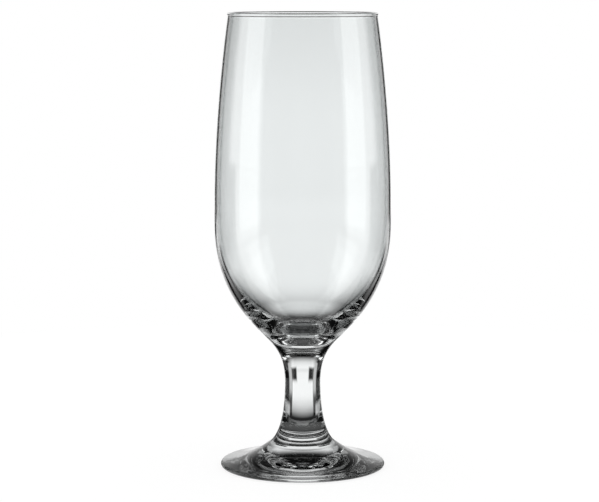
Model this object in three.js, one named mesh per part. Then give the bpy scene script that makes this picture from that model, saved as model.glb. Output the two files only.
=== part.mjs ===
// A footed beer goblet in clear soda-lime glass, made the way a machine makes one:
// a blown bowl with a fire-polished rim, a pressed stem and a spun foot, fused hot end to end.
// Millimetres, +Z up. The origin is on the axis, in the plane that the glass stands on.

import * as THREE from "three";

// Overall sizes
const HEIGHT = 177;
const RIM_DIAMETER = 58.2;
const BELLY_DIAMETER = 68.5;
const WAIST_DIAMETER = 13.9;
const FOOT_DIAMETER = 64.2;

// Heights of the two hot joints, where one gather of glass meets the next
const BOWL_JOINT = 49.4;
const FOOT_JOINT = 8.6;

// Bead of the fire-polished rim, a round lip that stands proud of the wall outside
const BEAD_RADIUS = 0.75;
const BEAD_CENTRE = { r: RIM_DIAMETER / 2 - BEAD_RADIUS, z: HEIGHT - BEAD_RADIUS };

// Outside of the bowl. Each station is a radius, a height, and the lean of the wall from plumb
// in degrees on the way down, positive where the glass widens.
const OUTSIDE = {
  neck: { r: 28.85, z: HEIGHT - 1.7, lean: 8.5 },
  belly: { r: BELLY_DIAMETER / 2, z: 102.9, lean: 0 },
  shoulder: { r: 34.24, z: 94.5, lean: -0.7 },
  tail: { r: 12.73, z: BOWL_JOINT, lean: -42.6 },
};

// Inside of the bowl: an even wall down to the belly, thickening from there to a heavy base.
// Below the haunch it runs down almost straight, like a funnel, to a small flat floor.
const INSIDE = {
  neck: { r: 27.8, z: HEIGHT - 1.7, lean: 8.5 },
  belly: { r: BELLY_DIAMETER / 2 - 1.05, z: 102.9, lean: 0 },
  shoulder: { r: 32.75, z: 90, lean: -5.9 },
  haunch: { r: 17.7, z: 60.1, lean: -49.4 },
  funnel: { r: 7, z: 51.7, lean: -61.3 },
  floor: { r: 0, z: 50.9, lean: -90 },
};

// Stem, waisted between two flares
const STEM = {
  top: { r: 12.73, z: BOWL_JOINT, lean: -42.6 },
  waist: { r: WAIST_DIAMETER / 2, z: 33, lean: 0 },
  bottom: { r: 14, z: FOOT_JOINT, lean: 54 },
};

// Foot: a low cone with a rounded edge, resting on a ring round a shallow hollow
const EDGE_RADIUS = 0.9;
const FOOT = {
  top: { r: 14, z: FOOT_JOINT, lean: 54 },
  slope: { r: 18.5, z: 5.7, lean: 63 },
  brim: { lean: 80.5 },
};
const RING = { inner: 25.5, outer: FOOT_DIAMETER / 2 - EDGE_RADIUS };
const HOLLOW_DEPTH = 1.8;

// Fineness
const SEGMENTS = 64;
const STEPS = { wall: 7, turn: 3, egg: 10, floor: 7, flare: 9, bead: 12, edge: 6, hollow: 5 };

const degrees = THREE.MathUtils.degToRad;

const point = (station) => new THREE.Vector2(station.r, station.z);

// The direction of travel down the wall at a station.
const heading = (station) =>
  new THREE.Vector2(Math.sin(degrees(station.lean)), -Math.cos(degrees(station.lean)));

// A cubic curve that leaves one station along its lean and arrives at the next along that one's.
// The two reaches say how far each lean is held, as shares of the straight distance.
function sweep(from, to, reachFrom = 0.35, reachTo = 0.35) {
  const a = point(from);
  const b = point(to);
  const span = a.distanceTo(b);
  return new THREE.CubicBezierCurve(
    a,
    a.clone().addScaledVector(heading(from), reachFrom * span),
    b.clone().addScaledVector(heading(to), -reachTo * span),
    b,
  );
}

// A round arc about a centre, between two angles in degrees from the outward radius.
const arc = (centre, radius, start, end) =>
  new THREE.EllipseCurve(
    centre.r, centre.z, radius, radius, degrees(start), degrees(end), end < start,
  );

// Joins [curve, steps] pairs into one outline, with each shared end taken once.
function outline(stretches, first = [], last = []) {
  const points = [...first];
  for (const [curve, steps] of stretches) {
    for (const p of curve.getPoints(steps)) {
      const previous = points.at(-1);
      if (!previous || previous.distanceTo(p) > 1e-4) points.push(p);
    }
  }
  return [...points, ...last];
}

// Turns a stretch round, for a wall followed from the bottom up.
const upwards = (from, to, reachFrom, reachTo) => {
  const c = sweep(from, to, reachFrom, reachTo);
  return new THREE.CubicBezierCurve(c.v3, c.v2, c.v1, c.v0);
};

// Clear glass, with the faint cool tint that soda-lime glass has where it is thick
const glass = () =>
  new THREE.MeshStandardMaterial({
    color: 0xe9eeee,
    roughness: 0.03,
    metalness: 0,
    transparent: true,
    opacity: 0.35,
  });

// Spins an outline, followed counter-clockwise in the (radius, height) plane, about the upright axis.
function turned(name, profile) {
  const geometry = new THREE.LatheGeometry(profile, SEGMENTS);
  geometry.rotateX(Math.PI / 2);
  const mesh = new THREE.Mesh(geometry, glass());
  mesh.name = name;
  return mesh;
}

// The bowl: up the outside from the joint, over the bead, and down the inside to the floor.
function bowl() {
  const { neck, belly, shoulder, tail } = OUTSIDE;
  const inner = INSIDE;
  return turned(
    "bowl",
    outline(
      [
        [upwards(shoulder, tail, 0.54, 0.17), STEPS.egg],
        [upwards(belly, shoulder), STEPS.turn],
        [upwards(neck, belly, 0.12, 0.43), STEPS.wall],
        [arc(BEAD_CENTRE, BEAD_RADIUS, -50, 230), STEPS.bead],
        [sweep(inner.neck, inner.belly, 0.12, 0.43), STEPS.wall],
        [sweep(inner.belly, inner.shoulder), STEPS.turn],
        [sweep(inner.shoulder, inner.haunch), STEPS.egg],
        [sweep(inner.haunch, inner.funnel, 0.39, 0.4), STEPS.turn],
        [sweep(inner.funnel, inner.floor, 0.25, 0.5), STEPS.floor],
      ],
      [new THREE.Vector2(0, BOWL_JOINT)],
    ),
  );
}

// The stem: one solid waisted bar between the two joints.
function stem() {
  const { top, waist, bottom } = STEM;
  return turned(
    "stem",
    outline(
      [
        [upwards(waist, bottom, 0.84, 0.05), STEPS.flare],
        [upwards(top, waist, 0.37, 0.39), STEPS.flare],
      ],
      [new THREE.Vector2(0, FOOT_JOINT)],
      [new THREE.Vector2(0, BOWL_JOINT)],
    ),
  );
}

// The foot: from the middle of the hollow out to the ring, round the edge and up the cone.
function foot() {
  const edge = { r: FOOT_DIAMETER / 2 - EDGE_RADIUS, z: EDGE_RADIUS };
  const rise = degrees(FOOT.brim.lean);
  const brim = {
    r: edge.r + EDGE_RADIUS * Math.cos(rise),
    z: edge.z + EDGE_RADIUS * Math.sin(rise),
    lean: FOOT.brim.lean,
  };
  const middle = { r: 0, z: HOLLOW_DEPTH, lean: 90 };
  const ringInside = { r: RING.inner, z: 0, lean: 84 };
  return turned(
    "foot",
    outline(
      [
        [sweep(middle, ringInside), STEPS.hollow],
        [arc(edge, EDGE_RADIUS, -90, FOOT.brim.lean), STEPS.edge],
        [upwards(FOOT.slope, brim), STEPS.turn],
        [upwards(FOOT.top, FOOT.slope), STEPS.turn],
      ],
      [],
      [new THREE.Vector2(0, FOOT_JOINT)],
    ),
  );
}

const goblet = new THREE.Group();
goblet.name = "goblet";
goblet.add(bowl(), stem(), foot());

export default goblet;
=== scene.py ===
# %% [markdown]
# A beer goblet in clear glass
#
# The object is a tall footed beer glass, empty, on a white ground. Clear glass has almost no colour
# of its own: what the eye sees is the room, bent by the walls and mirrored on them. So this lesson
# has three parts of equal weight. The first is an exact outline, because a small error in the
# curve of a wall shows as a large one in what is seen through it. The second is a plain glass
# shader, and the third is a studio for the glass to show.

import bpy
import numpy as np
from mathutils import Euler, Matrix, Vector


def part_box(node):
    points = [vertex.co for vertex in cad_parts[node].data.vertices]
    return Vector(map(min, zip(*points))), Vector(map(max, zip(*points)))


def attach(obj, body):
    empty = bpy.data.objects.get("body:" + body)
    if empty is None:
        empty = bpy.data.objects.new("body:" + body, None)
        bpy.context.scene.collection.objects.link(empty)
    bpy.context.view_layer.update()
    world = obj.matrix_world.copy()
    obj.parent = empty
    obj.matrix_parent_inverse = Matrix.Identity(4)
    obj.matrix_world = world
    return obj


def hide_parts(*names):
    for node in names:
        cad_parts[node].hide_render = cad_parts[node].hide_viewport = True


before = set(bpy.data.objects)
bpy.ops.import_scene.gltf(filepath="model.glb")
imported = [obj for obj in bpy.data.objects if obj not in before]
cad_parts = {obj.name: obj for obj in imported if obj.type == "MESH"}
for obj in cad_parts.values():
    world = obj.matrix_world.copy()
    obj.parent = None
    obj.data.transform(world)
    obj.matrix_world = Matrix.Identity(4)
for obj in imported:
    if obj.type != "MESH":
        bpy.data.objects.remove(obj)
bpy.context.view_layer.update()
MM = 0.001


# %% [markdown]
# The camera
#
# The photograph was taken from close by, a little above the rim: the rim shows as a thin ellipse and
# the foot as a wider one. A camera is found by measuring how wide such ellipses are. Here it stands
# 4.7 glass heights away and just above the rim, and looks down by a few degrees.
# The object stands a touch right of the picture's middle, so the camera steps aside by that much and
# keeps its lens unshifted, so that every other view stays centred.

# %% Place the camera
PHOTO_WIDTH = 599
SENSOR_WIDTH = 36.0
FOCAL_PIXELS = 2155.8
CAMERA_DISTANCE = 0.8319
CAMERA_HEIGHT = 0.189
CAMERA_ASIDE = -0.00124
CAMERA_PITCH = np.radians(7.146)

camera_data = bpy.data.cameras.new("camera")
camera_data.sensor_width = SENSOR_WIDTH
camera_data.lens = FOCAL_PIXELS * SENSOR_WIDTH / PHOTO_WIDTH
camera = bpy.data.objects.new("camera", camera_data)
camera.location = Vector((CAMERA_ASIDE, -CAMERA_DISTANCE, CAMERA_HEIGHT))
camera.rotation_euler = Euler((np.pi / 2 - CAMERA_PITCH, 0, 0))
bpy.context.scene.collection.objects.link(camera)
bpy.context.scene.camera = camera
print("lens", round(camera_data.lens, 1), "mm")


# %% [markdown]
# The outline of the glass
#
# A glass is a body of revolution, so its whole shape is one curve in the (radius, height) plane. The
# curve could be drawn point by point, but hand-placed points wobble, and glass magnifies every
# wobble. It is built from stations instead: a radius, a height and the lean of the wall there. A cubic
# curve joins each pair of stations and keeps both leans, so the wall turns without a break.
# What the frame knows, such as the height and the largest radii, is read from it.

# %% Measure the frame
bowl_low, bowl_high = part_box("bowl")
stem_low, stem_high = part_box("stem")
foot_low, foot_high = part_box("foot")
HEIGHT = bowl_high.z / MM
BELLY_RADIUS = bowl_high.x / MM
FOOT_RADIUS = foot_high.x / MM
BOWL_JOINT = stem_high.z / MM
FOOT_JOINT = foot_high.z / MM
print("height %.2f, belly %.2f, foot %.2f, joints at %.2f and %.2f mm"
      % (HEIGHT, BELLY_RADIUS, FOOT_RADIUS, BOWL_JOINT, FOOT_JOINT))

# %% Curves between stations


def heading(lean):
    """Direction of travel down a wall that leans by that many degrees from plumb: (sin, -cos)."""
    turn = np.radians(lean)
    return np.array([np.sin(turn), -np.cos(turn)])


def sweep(start, end, reach_start=0.35, reach_end=0.35, steps=40):
    """A cubic Bezier curve from one station (radius, height, lean) to the next, as points.

    Each inner control point lies on the lean of its own station, a reach times the distance between
    the stations away. The point at u is the sum of (1-u)^3, 3u(1-u)^2, 3u^2(1-u) and u^3 times the
    four control points."""
    a, b = np.array(start[:2], float), np.array(end[:2], float)
    span = np.hypot(*(b - a))
    first = a + reach_start * span * heading(start[2])
    second = b - reach_end * span * heading(end[2])
    u = np.linspace(0, 1, steps + 1)[:, None]
    v = 1 - u
    return v**3 * a + 3 * u * v**2 * first + 3 * u**2 * v * second + u**3 * b


def arc(centre, radius, start, end, steps=24):
    """A round arc, as points: the centre plus radius times (cos, sin) of angles from start to end."""
    turn = np.radians(np.linspace(start, end, steps + 1))
    return np.array(centre) + radius * np.column_stack([np.cos(turn), np.sin(turn)])


def join(*stretches):
    """One outline from several stretches of points, with each shared end taken once."""
    points = np.vstack(stretches)
    apart = np.hypot(*np.diff(points, axis=0).T) > 1e-5
    return points[np.concatenate([[True], apart])]


# %% Stations of the bowl
WALL = 1.05
BEAD_RADIUS = 0.75
BEAD_TURN = (-50, 230)
RIM_RADIUS = 29.1
BEAD_CENTRE = (RIM_RADIUS - BEAD_RADIUS, HEIGHT - BEAD_RADIUS)

NECK_RADIUS = 28.85
NECK_HEIGHT = HEIGHT - 1.7
NECK_LEAN = 8.5
BELLY_HEIGHT = 102.9

NECK_OUT = (NECK_RADIUS, NECK_HEIGHT, NECK_LEAN)
BELLY_OUT = (BELLY_RADIUS, BELLY_HEIGHT, 0.0)
SHOULDER_OUT = (34.24, 94.5, -0.7)
TAIL = (12.73, BOWL_JOINT, -42.6)

NECK_IN = (NECK_RADIUS - WALL, NECK_HEIGHT, NECK_LEAN)
BELLY_IN = (BELLY_RADIUS - WALL, BELLY_HEIGHT, 0.0)
SHOULDER_IN = (32.75, 90.0, -5.9)
HAUNCH = (17.7, 60.1, -49.4)
FUNNEL = (7.0, 51.7, -61.3)
FLOOR = (0.0, 50.9, -90.0)
print("wall", WALL, "mm, glass under the floor", round(FLOOR[1] - BOWL_JOINT, 2), "mm")

# %% Stations of the stem and the foot
STEM_TOP = TAIL
WAIST = (6.95, 33.0, 0.0)
STEM_BOTTOM = (14.0, FOOT_JOINT, 54.0)

EDGE_RADIUS = 0.9
EDGE_START = -90
BRIM_LEAN = 80.5
SLOPE = (18.5, 5.7, 63.0)
RING_INNER = 25.5
RING_LEAN = 84.0
HOLLOW_DEPTH = 1.8
print("waist", round(2 * WAIST[0], 1), "mm, hollow", HOLLOW_DEPTH, "mm deep")

# %% Reaches of the curves
WALL_REACH = (0.12, 0.43)
TAIL_REACH = (0.54, 0.17)
HAUNCH_REACH = (0.39, 0.4)
FLOOR_REACH = (0.25, 0.5)
FLARE_UP_REACH = (0.37, 0.39)
FLARE_DOWN_REACH = (0.84, 0.05)

# %% Outlines of the three pieces


def bowl_outline():
    """Up the outside from the lower joint, over the bead and down the inside to the floor."""
    return join(
        sweep(SHOULDER_OUT, TAIL, *TAIL_REACH, steps=70)[::-1],
        sweep(BELLY_OUT, SHOULDER_OUT, steps=14)[::-1],
        sweep(NECK_OUT, BELLY_OUT, *WALL_REACH, steps=60)[::-1],
        arc(BEAD_CENTRE, BEAD_RADIUS, *BEAD_TURN, steps=36),
        sweep(NECK_IN, BELLY_IN, *WALL_REACH, steps=60),
        sweep(BELLY_IN, SHOULDER_IN, steps=14),
        sweep(SHOULDER_IN, HAUNCH, steps=50),
        sweep(HAUNCH, FUNNEL, *HAUNCH_REACH, steps=24),
        sweep(FUNNEL, FLOOR, *FLOOR_REACH, steps=36),
    )


def stem_outline():
    """Up the outside of the stem, from the joint at the foot to the joint at the bowl."""
    return join(
        sweep(WAIST, STEM_BOTTOM, *FLARE_DOWN_REACH, steps=70)[::-1],
        sweep(STEM_TOP, WAIST, *FLARE_UP_REACH, steps=60)[::-1],
    )


def foot_outline():
    """Out from the middle of the hollow, over the resting ring, round the edge and up the cone."""
    edge = (FOOT_RADIUS - EDGE_RADIUS, EDGE_RADIUS)
    brim = arc(edge, EDGE_RADIUS, BRIM_LEAN, BRIM_LEAN, steps=0)[0]
    return join(
        sweep((0.0, HOLLOW_DEPTH, 90.0), (RING_INNER, 0.0, RING_LEAN), steps=50),
        arc(edge, EDGE_RADIUS, EDGE_START, BRIM_LEAN, steps=30),
        sweep(SLOPE, (*brim, BRIM_LEAN), steps=30)[::-1],
        sweep(STEM_BOTTOM, SLOPE, steps=24)[::-1],
    )


for made in (bowl_outline(), stem_outline(), foot_outline()):
    print(len(made), "points from", made[0].round(2), "to", made[-1].round(2))


# %% [markdown]
# From outline to solid
#
# A machine makes this glass from three gathers of hot glass and fuses them, so nothing can be seen at
# the joints. Three closed meshes that touch would show mirrors there, because a ray sees two
# surfaces with nothing between them. The pieces stay separate and closed here, and the flat face
# at each joint gets a finish of its own that lets light through unbent.
#
# The rows of the mesh are rings round the axis. Smooth shading usually guesses a normal from the
# faces near a point, which goes wrong at the edge of a piece, so the normals are worked out from the
# outline instead and handed to the mesh. Then the bowl and the stem agree at their joint.

# %% Revolve an outline
SEGMENTS = 240


def outline_normals(points):
    """The outward normal at each point: its direction of travel, turned right by a quarter.

    The direction is the mean of the unit steps before and after the point."""
    steps = np.diff(points, axis=0)
    steps /= np.hypot(*steps.T)[:, None]
    travel = np.vstack([steps[:1], steps]) + np.vstack([steps, steps[-1:]])
    normals = np.column_stack([travel[:, 1], -travel[:, 0]])
    return normals / np.hypot(*normals.T)[:, None]


def spin(flat):
    """Points (r, z) carried round the axis: x = r sin t, y = -r cos t, z stays, one ring for each."""
    turn = np.linspace(0, 2 * np.pi, SEGMENTS, endpoint=False)
    r, z = flat[:, :1], flat[:, 1:]
    rings = np.stack([r * np.sin(turn), -r * np.cos(turn), z + 0 * turn], axis=-1)
    return rings.reshape(-1, 3)


def bands(count):
    """Quads between each ring and the next, for that many rings. They face out for a path that climbs."""
    ring = SEGMENTS * np.arange(count - 1)[:, None]
    k = np.arange(SEGMENTS)
    after = (k + 1) % SEGMENTS
    corners = [ring + k, ring + after, ring + SEGMENTS + after, ring + SEGMENTS + k]
    return np.stack(corners, axis=-1).reshape(-1, 4)


def fan(ring, pole, facing_down):
    """Triangles that close a ring on one vertex at its middle."""
    k = np.arange(SEGMENTS)
    after = (k + 1) % SEGMENTS
    ends = (ring + after, ring + k) if facing_down else (ring + k, ring + after)
    return np.column_stack([*ends, np.full(SEGMENTS, pole)])


def revolve(name, outline, glass, joint):
    """A closed solid from an outline that runs anticlockwise. An end off the axis is a joint face."""
    starts_on_axis = outline[0, 0] < 1e-6
    ends_on_axis = outline[-1, 0] < 1e-6
    normals = outline_normals(outline)
    inner = slice(1 if starts_on_axis else 0, -1 if ends_on_axis else None)
    rings = spin(outline[inner])
    turned = spin(normals[inner])
    count = len(rings) // SEGMENTS
    poles = np.array([[0, 0, outline[0, 1]], [0, 0, outline[-1, 1]]])
    vertices = np.vstack([rings, poles]) * MM
    directions = np.vstack([turned, [[0, 0, -1.0], [0, 0, 1.0]]])
    first, last = len(rings), len(rings) + 1
    quads = bands(count)
    bottom = fan(0, first, True)
    top = fan((count - 1) * SEGMENTS, last, False)
    mesh = bpy.data.meshes.new(name)
    mesh.from_pydata(vertices, [], [*quads.tolist(), *bottom.tolist(), *top.tolist()])
    mesh.materials.append(glass)
    mesh.materials.append(joint)
    slots = np.zeros(len(mesh.polygons), np.int32)
    if not starts_on_axis:
        slots[len(quads):len(quads) + SEGMENTS] = 1
    if not ends_on_axis:
        slots[len(quads) + SEGMENTS:] = 1
    mesh.polygons.foreach_set("material_index", slots)
    mesh.polygons.foreach_set("use_smooth", np.ones(len(mesh.polygons), bool))
    mesh.normals_split_custom_set_from_vertices(directions.tolist())
    mesh.validate()
    piece = bpy.data.objects.new(name, mesh)
    bpy.context.scene.collection.objects.link(piece)
    print(name, len(vertices), "vertices,", 2 * len(quads) + 2 * SEGMENTS, "triangles")
    return piece


# %% [markdown]
# The glass
#
# The real material is soda-lime glass, the common glass of bottles and tumblers: IOR about 1.52, with
# a trace of iron that turns thick glass faintly green-blue. The bowl is blown and its rim is melted
# smooth by a flame, the stem and the foot are pressed and then fire-polished, so every surface
# is smoother than any grinding could make it. What gives such glass away is a slow ripple, a
# centimetre or two across, where it met a mould and cooled. It is far too shallow to see by itself, but
# it makes the lines of the studio waver a little.

# %% Node and colour helpers


def add_node(tree, kind, inputs=None, **settings):
    """Adds a node with its settings. An input that is a socket is linked, and any other is its value."""
    made = tree.nodes.new(kind)
    for name, value in settings.items():
        setattr(made, name, value)
    for key, value in (inputs or {}).items():
        if isinstance(value, bpy.types.NodeSocket):
            tree.links.new(value, made.inputs[key])
        else:
            made.inputs[key].default_value = value
    return made


def linear(hex_colour):
    """An sRGB hex colour such as "d8dcdc" as linear red, green, blue and alpha."""
    srgb = np.array([int(hex_colour[i:i + 2], 16) for i in (0, 2, 4)]) / 255
    low, high = srgb / 12.92, ((srgb + 0.055) / 1.055) ** 2.4
    return (*np.where(srgb <= 0.04045, low, high).tolist(), 1.0)


def blank_material(name):
    """A new material with an empty node tree."""
    made = bpy.data.materials.new(name)
    made.use_nodes = True
    made.node_tree.nodes.clear()
    return made


# %% Make the glass
GLASS_IOR = 1.52
GLASS_TINT = "f9fbfb"
BLOWN_RIPPLE = (22.0, 0.002)
PRESSED_RIPPLE = (12.0, 0.0015)


def soda_lime_glass(name, ripple_width, ripple_height):
    """Clear fire-polished soda-lime glass with a slow ripple, both ripple sizes in millimetres."""
    made = blank_material(name)
    tree = made.node_tree
    place = add_node(tree, "ShaderNodeTexCoord")
    ripple = add_node(tree, "ShaderNodeTexNoise", {
        "Vector": place.outputs["Object"],
        "Scale": 1 / (ripple_width * MM),
        "Detail": 1.0,
        "Roughness": 0.4,
    })
    surface = add_node(tree, "ShaderNodeBump", {
        "Height": ripple.outputs["Fac"],
        "Strength": 1.0,
        "Distance": ripple_height * MM,
    })
    glass = add_node(tree, "ShaderNodeBsdfPrincipled", {
        "Base Color": linear(GLASS_TINT),
        "Roughness": 0.0,
        "IOR": GLASS_IOR,
        "Transmission Weight": 1.0,
        "Normal": surface.outputs["Normal"],
    })
    add_node(tree, "ShaderNodeOutputMaterial", {"Surface": glass.outputs["BSDF"]})
    return made


def hot_joint():
    """Where two gathers of glass are fused there is no surface, so light goes straight on."""
    made = blank_material("fused_hot_joint")
    tree = made.node_tree
    clear = add_node(tree, "ShaderNodeBsdfPrincipled", {"Alpha": 0.0, "IOR": GLASS_IOR})
    add_node(tree, "ShaderNodeOutputMaterial", {"Surface": clear.outputs["BSDF"]})
    return made


blown_glass = soda_lime_glass("soda_lime_glass_blown", *BLOWN_RIPPLE)
pressed_glass = soda_lime_glass("soda_lime_glass_pressed", *PRESSED_RIPPLE)
joint_finish = hot_joint()
print("materials:", blown_glass.name, pressed_glass.name, joint_finish.name)

# %% Build the three pieces
bowl = revolve("goblet_bowl", bowl_outline(), blown_glass, joint_finish)
stem = revolve("goblet_stem", stem_outline(), pressed_glass, joint_finish)
foot = revolve("goblet_foot", foot_outline(), pressed_glass, joint_finish)

for piece, node, slot in (
    (bowl, "bowl", "bowl_glass"),
    (stem, "stem", "stem_glass"),
    (foot, "foot", "foot_glass"),
):
    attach(piece, "root")
    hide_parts(node)


# %% [markdown]
# The studio
#
# Clear glass is drawn by what stands round it. A photographer sets it before a narrow white backdrop, and
# the darkness beside the backdrop draws the dark lines at its edges: the narrower the backdrop, the
# bolder the line. A pale strip stands beside the darkness, a soft box at each side, grey ground lies
# below, and the wall behind the camera is grey.
# All of that stands far off, so it lives in the world as a pattern of directions: an azimuth, where
# zero is straight ahead, and an elevation over the horizon.
# Only rays that have met the glass see this pattern. The camera and the table see plain white in every
# direction, so the dark lines come from a darkness that no picture shows directly. Its angles and
# levels were tuned until the glass looked as it does in the photograph, so the likeness rests partly
# on this stage. Under other light the same glass looks different.

# %% Helpers for patterns
DEGREES = 180 / np.pi
WHITE = (1, 1, 1, 1)


def ramp(tree, value, start, end):
    """Rises smoothly from 0 at start to 1 at end. With start above end, it falls as the value rises."""
    rise = (0.0, 1.0) if start < end else (1.0, 0.0)
    return add_node(tree, "ShaderNodeMapRange", {
        "Value": value, "From Min": min(start, end), "From Max": max(start, end),
        "To Min": rise[0], "To Max": rise[1],
    }, interpolation_type="SMOOTHSTEP").outputs["Result"]


def maths(tree, operation, first, *others):
    """A Math node on the first two values, and one more on its result for each value after them."""
    for other in others or (None,):
        values = {0: first} if other is None else {0: first, 1: other}
        first = add_node(tree, "ShaderNodeMath", values, operation=operation).outputs["Value"]
    return first


def bearing(tree, across, ahead):
    """How far a direction or a place is turned from straight ahead, in degrees, alike to both sides."""
    return maths(tree, "ABSOLUTE", maths(tree, "MULTIPLY", maths(tree, "ARCTAN2", across, ahead), DEGREES))


def seen_in_glass(tree):
    """1 for rays that a mirror image or a look through the glass sends on, 0 for all other rays."""
    rays = add_node(tree, "ShaderNodeLightPath")
    return maths(tree, "MAXIMUM", rays.outputs["Is Glossy Ray"], rays.outputs["Is Transmission Ray"])


# %% Paint the studio round the glass
BACKDROP_SIDES = (15.0, 11.5)
BACKDROP_FOOT = (-30.0, -13.0)
LOW_SIDES = (28.0, 24.0)
LOW_TOP = (-7.0, -11.0)
BACKDROP_TOP = (36.0, 2.0)
WIDE_SIDES = (40.0, 20.0)
WIDE_FOOT = (1.0, 7.0)
HORIZON_DIP = 0.13
HORIZON_BAND = 4.0
STRIP_NEAR_SIDE = (25.0, 28.0)
STRIP_FAR_SIDE = (40.0, 35.0)
STRIP_FOOT = (-16.5, -12.0)
STRIP_TOP = (17.0, 13.0)
STRIP = 0.5
SOFTBOX_NEAR_SIDE = (79.0, 84.0)
SOFTBOX_FAR_SIDE = (123.0, 117.0)
SOFTBOX_TOP = (2.0, -1.0)
SOFTBOX = 1.15
BEHIND_SIDE = (60.0, 124.0)
BEHIND_TOP = (-2.5, -8.0)
BEHIND = 0.6
GROUND_SIDE = (31.0, 37.0)
GROUND_DEPTH = (-17.5, -21.5)
GROUND_END = (-34.0, -28.0)
GROUND = 0.5
DARK = 0.004


def paint_world():
    """The camera's white, the studio that glass shows, and plain soft light for the table."""
    world = bpy.data.worlds.new("studio")
    bpy.context.scene.world = world
    world.use_nodes = True
    tree = world.node_tree
    tree.nodes.clear()
    direction = add_node(tree, "ShaderNodeTexCoord").outputs["Generated"]
    axes = add_node(tree, "ShaderNodeSeparateXYZ", {"Vector": direction})
    azimuth = bearing(tree, axes.outputs["X"], axes.outputs["Y"])
    elevation = maths(tree, "MULTIPLY", maths(tree, "ARCSINE", axes.outputs["Z"]), DEGREES)

    narrow = maths(tree, "MULTIPLY",
                   ramp(tree, azimuth, *BACKDROP_SIDES), ramp(tree, elevation, *BACKDROP_FOOT))
    wide = maths(tree, "MULTIPLY", ramp(tree, azimuth, *WIDE_SIDES), ramp(tree, elevation, *WIDE_FOOT))
    low = maths(tree, "MULTIPLY", ramp(tree, azimuth, *LOW_SIDES),
                ramp(tree, elevation, *BACKDROP_FOOT), ramp(tree, elevation, *LOW_TOP))
    from_horizon = maths(tree, "ABSOLUTE", elevation)
    dip = maths(tree, "MULTIPLY", ramp(tree, from_horizon, HORIZON_BAND, 0.0), HORIZON_DIP)
    backdrop = maths(tree, "MULTIPLY",
                     maths(tree, "MAXIMUM", narrow, wide, low),
                     ramp(tree, elevation, *BACKDROP_TOP),
                     maths(tree, "SUBTRACT", 1.0, dip))
    strip = maths(tree, "MULTIPLY",
                  ramp(tree, azimuth, *STRIP_NEAR_SIDE), ramp(tree, azimuth, *STRIP_FAR_SIDE),
                  ramp(tree, elevation, *STRIP_FOOT), ramp(tree, elevation, *STRIP_TOP), STRIP)
    softbox = maths(tree, "MULTIPLY",
                    ramp(tree, azimuth, *SOFTBOX_NEAR_SIDE), ramp(tree, azimuth, *SOFTBOX_FAR_SIDE),
                    ramp(tree, elevation, *SOFTBOX_TOP), SOFTBOX)
    behind = maths(tree, "MULTIPLY",
                   ramp(tree, azimuth, *BEHIND_SIDE), ramp(tree, elevation, *BEHIND_TOP), BEHIND)
    ground = maths(tree, "MULTIPLY",
                   ramp(tree, azimuth, *GROUND_SIDE),
                   ramp(tree, elevation, *GROUND_DEPTH), ramp(tree, elevation, *GROUND_END), GROUND)
    room = maths(tree, "ADD", softbox, behind, DARK)
    shown = maths(tree, "MAXIMUM", backdrop, strip, room, ground)

    strength = add_node(tree, "ShaderNodeMix", {"Factor": seen_in_glass(tree), "A": 1.0, "B": shown})
    light = add_node(tree, "ShaderNodeBackground", {"Color": WHITE, "Strength": strength.outputs["Result"]})
    add_node(tree, "ShaderNodeOutputWorld", {"Surface": light.outputs["Background"]})


paint_world()
print("world:", len(bpy.context.scene.world.node_tree.nodes), "nodes")

# %% [markdown]
# The table
#
# The glass stands on a round white table. To the camera its white is partly its own light, so that
# it matches the background whatever stands on it, and partly a matt surface that takes the
# soft shadow of the glass.
# Rays that have met the glass see another side of it, which is stage too, painted with light and shade:
# a painted shadow, dim under the foot and nearly black round its edge, painted light, open and pale
# towards the camera, and a pale patch beside the stem, a painted caustic for the light that the glass
# gathers there. Beyond the foot's edge the table is clear to those rays, so the world's pattern runs on
# below it.

# %% Lay the table
TABLE_RADIUS = 0.35
TABLE_DROP = 0.0002
TABLE_GLOW = 0.8
TABLE_MATT = 0.22
# Levels of painted shade and light that rays from the glass see on the table near the foot.
UNDER_FOOT = 0.1
FOOT_SHADE = (0.0, 0.036)
GAP_START = (0.036, 0.044)
PAINTED_NEAR_SHADE = 0.02
OPEN_SIDES = (98.0, 112.0)
OPEN_START = (0.028, 0.033)
OPEN_TABLE = 0.65
CAUSTIC_START = (0.010, 0.017)
CAUSTIC_END = (0.044, 0.034)
CAUSTIC_NEAR_SIDE = (32.0, 36.0)
CAUSTIC_FAR_SIDE = (116.0, 104.0)
CAUSTIC = 0.35


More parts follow.
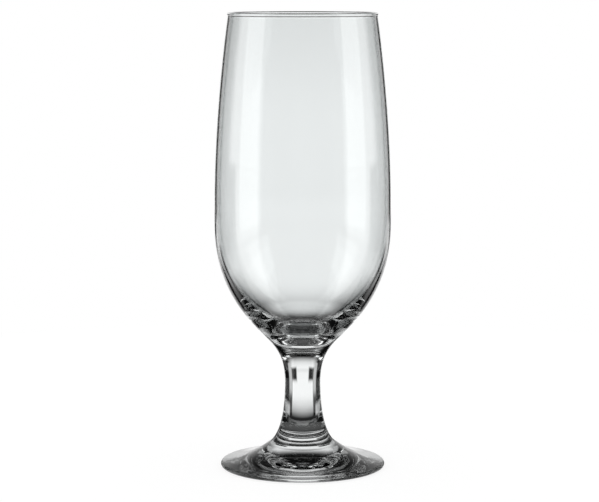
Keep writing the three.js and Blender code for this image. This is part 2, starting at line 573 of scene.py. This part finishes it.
def white_table():
    """White laminate: what the camera sees, and what the glass shows of it, painted shade and light
    included.
    """
    made = blank_material("white_laminate_table")
    tree = made.node_tree
    place = add_node(tree, "ShaderNodeTexCoord").outputs["Object"]
    axes = add_node(tree, "ShaderNodeSeparateXYZ", {"Vector": place})
    side = bearing(tree, axes.outputs["X"], axes.outputs["Y"])
    away = add_node(tree, "ShaderNodeVectorMath", {0: place}, operation="LENGTH").outputs["Value"]
    # Painted light: towards the camera, just round the foot's edge, the table is pale, as if lit.
    open_table = maths(tree, "MULTIPLY",
                       ramp(tree, side, *OPEN_SIDES),
                       ramp(tree, away, *OPEN_START), OPEN_TABLE)
    # Painted shadow: under the foot the table shows only a dim level, which fades towards the foot's edge.
    under = maths(tree, "MULTIPLY", ramp(tree, away, *FOOT_SHADE[::-1]), UNDER_FOOT)
    # Painted light: a pale patch on the table to each side of the stem, under the foot, stands in for the
    # light that the glass gathers there.
    caustic = maths(tree, "MULTIPLY",
                    ramp(tree, away, *CAUSTIC_START), ramp(tree, away, *CAUSTIC_END),
                    ramp(tree, side, *CAUSTIC_NEAR_SIDE), ramp(tree, side, *CAUSTIC_FAR_SIDE), CAUSTIC)
    # Painted shade: everywhere else near the foot the table is nearly black to rays from the glass.
    level = maths(tree, "MAXIMUM", open_table, under, caustic, PAINTED_NEAR_SHADE)
    shown = add_node(tree, "ShaderNodeEmission", {"Color": WHITE, "Strength": level})
    gap = ramp(tree, away, *GAP_START)
    nothing = add_node(tree, "ShaderNodeBsdfTransparent")
    in_glass = add_node(tree, "ShaderNodeMixShader", {
        "Fac": gap, 1: shown.outputs["Emission"], 2: nothing.outputs["BSDF"]})
    matt = add_node(tree, "ShaderNodeBsdfDiffuse", {"Color": (TABLE_MATT,) * 3 + (1,)})
    glow = add_node(tree, "ShaderNodeEmission", {"Color": WHITE, "Strength": TABLE_GLOW})
    plain = add_node(tree, "ShaderNodeAddShader", {0: matt.outputs["BSDF"], 1: glow.outputs["Emission"]})
    both = add_node(tree, "ShaderNodeMixShader", {
        "Fac": seen_in_glass(tree), 1: plain.outputs["Shader"], 2: in_glass.outputs["Shader"]})
    add_node(tree, "ShaderNodeOutputMaterial", {"Surface": both.outputs["Shader"]})
    return made


TABLE_CORNERS = 96
turn = np.linspace(0, 2 * np.pi, TABLE_CORNERS, endpoint=False)
edge = np.column_stack([np.cos(turn), np.sin(turn), 0 * turn]) * TABLE_RADIUS - (0, 0, TABLE_DROP)
table_mesh = bpy.data.meshes.new("table")
table_mesh.from_pydata(edge, [], [list(range(TABLE_CORNERS))])
table_mesh.materials.append(white_table())
table = bpy.data.objects.new("table", table_mesh)
bpy.context.scene.collection.objects.link(table)
print("table", 2 * TABLE_RADIUS, "m across,", TABLE_DROP / MM, "mm under the foot")

# %% [markdown]
# The side panels
#
# The two tall pale stripes on the bowl are mirror images of lit cloth. Worked back from where they lie
# in the photograph, that cloth hangs about 14 cm to each side of the glass, so it is made near, as one
# upright sheet on each side. The lowest part of the stripes comes from the soft boxes in the world.
# The sheets' edges fade out, because real diffusing cloth has no sharp border of light. The camera
# doesn't see them and they light nothing else: only their images show in the glass.

# %% Hang the side panels
PANEL_ASIDE = 0.14
PANEL_AHEAD = (-0.105, 0.045)
PANEL_NEAR_EDGE = (-0.105, -0.090)
PANEL_FAR_EDGE = (0.045, 0.008)
PANEL_HEIGHTS = (0.112, 0.235)
PANEL_FOOT = (0.113, 0.119)
PANEL_TOP = (0.235, 0.215)
PANEL = 1.2


def lit_panel():
    """White diffusing cloth lit from behind, with soft edges."""
    made = blank_material("white_diffusing_cloth")
    tree = made.node_tree
    place = add_node(tree, "ShaderNodeTexCoord").outputs["Object"]
    axes = add_node(tree, "ShaderNodeSeparateXYZ", {"Vector": place})
    level = maths(tree, "MULTIPLY",
                  ramp(tree, axes.outputs["Y"], *PANEL_NEAR_EDGE),
                  ramp(tree, axes.outputs["Y"], *PANEL_FAR_EDGE),
                  ramp(tree, axes.outputs["Z"], *PANEL_FOOT), ramp(tree, axes.outputs["Z"], *PANEL_TOP))
    cloth = add_node(tree, "ShaderNodeEmission", {"Color": WHITE, "Strength": PANEL})
    nothing = add_node(tree, "ShaderNodeBsdfTransparent")
    edged = add_node(tree, "ShaderNodeMixShader", {
        "Fac": level, 1: nothing.outputs["BSDF"], 2: cloth.outputs["Emission"]})
    add_node(tree, "ShaderNodeOutputMaterial", {"Surface": edged.outputs["Shader"]})
    return made


cloth = lit_panel()
for name, aside in (("left_panel", -PANEL_ASIDE), ("right_panel", PANEL_ASIDE)):
    corners = [(aside, ahead, height) for ahead, height in (
        (PANEL_AHEAD[0], PANEL_HEIGHTS[0]), (PANEL_AHEAD[1], PANEL_HEIGHTS[0]),
        (PANEL_AHEAD[1], PANEL_HEIGHTS[1]), (PANEL_AHEAD[0], PANEL_HEIGHTS[1]))]
    panel_mesh = bpy.data.meshes.new(name)
    panel_mesh.from_pydata(corners, [], [(0, 1, 2, 3)])
    panel_mesh.materials.append(cloth)
    panel = bpy.data.objects.new(name, panel_mesh)
    bpy.context.scene.collection.objects.link(panel)
    panel.visible_camera = False
    panel.visible_diffuse = False
    panel.visible_shadow = False
    print(name, "at x =", aside, "m")

# %% [markdown]
# Light paths and finish
#
# Light that enters a thick base bounces many times before it leaves. With few bounces allowed, those
# paths end in black, so the limits go up.

# %% Finish
THROUGH_GLASS = 24
OFF_GLASS = 16
scene = bpy.context.scene
scene.view_settings.view_transform = "Standard"
scene.cycles.max_bounces = THROUGH_GLASS
scene.cycles.transmission_bounces = THROUGH_GLASS
scene.cycles.glossy_bounces = OFF_GLASS
scene.cycles.transparent_max_bounces = OFF_GLASS
